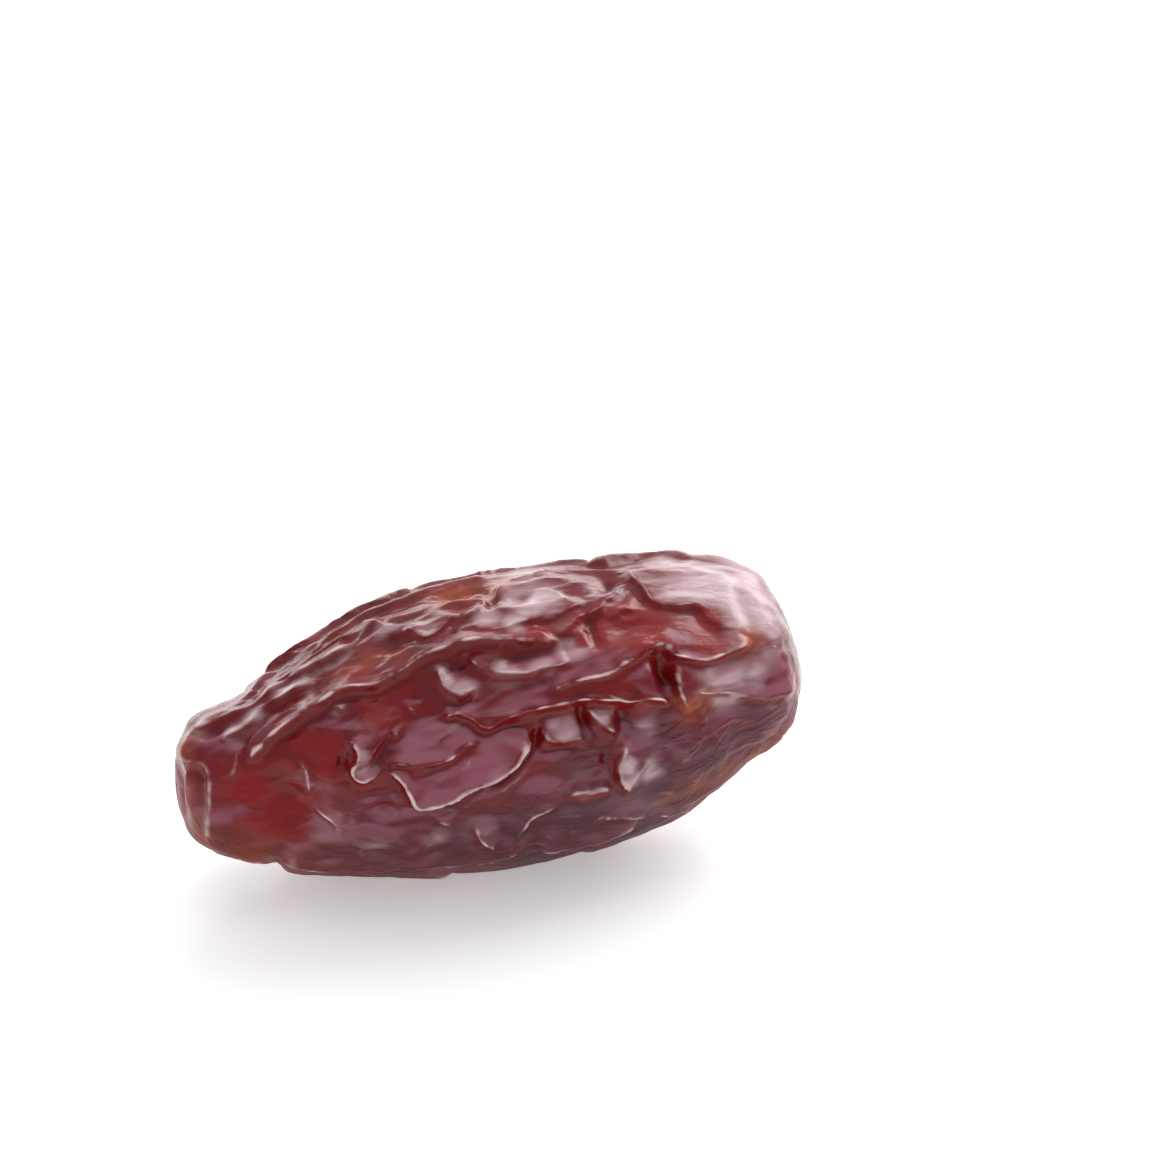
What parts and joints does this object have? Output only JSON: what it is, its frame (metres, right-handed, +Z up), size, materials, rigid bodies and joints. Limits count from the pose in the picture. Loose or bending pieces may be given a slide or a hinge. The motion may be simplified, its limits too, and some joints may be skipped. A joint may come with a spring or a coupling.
{
  "type": "date",
  "caption": "Whole dried date fruit, plump and deeply wrinkled, lying on its side; a food item for a table, bowl or tray.",
  "frame": {"origin": "on the surface that the fruit lies on, below the middle of its bounding box", "axes": "+Z up; +X along the fruit from the narrow stalk end to the broad end, which lies a little higher; the front, with the pictured folds, faces -Y"},
  "size_m": [0.0516, 0.024, 0.0231],
  "materials": {
    "date_skin": "glossy, wrinkled, slightly see-through deep red-brown skin with a pale bloom on the crests"
  },
  "bodies": {
    "root": {"date": "date_skin"}
  },
  "joints": []
}
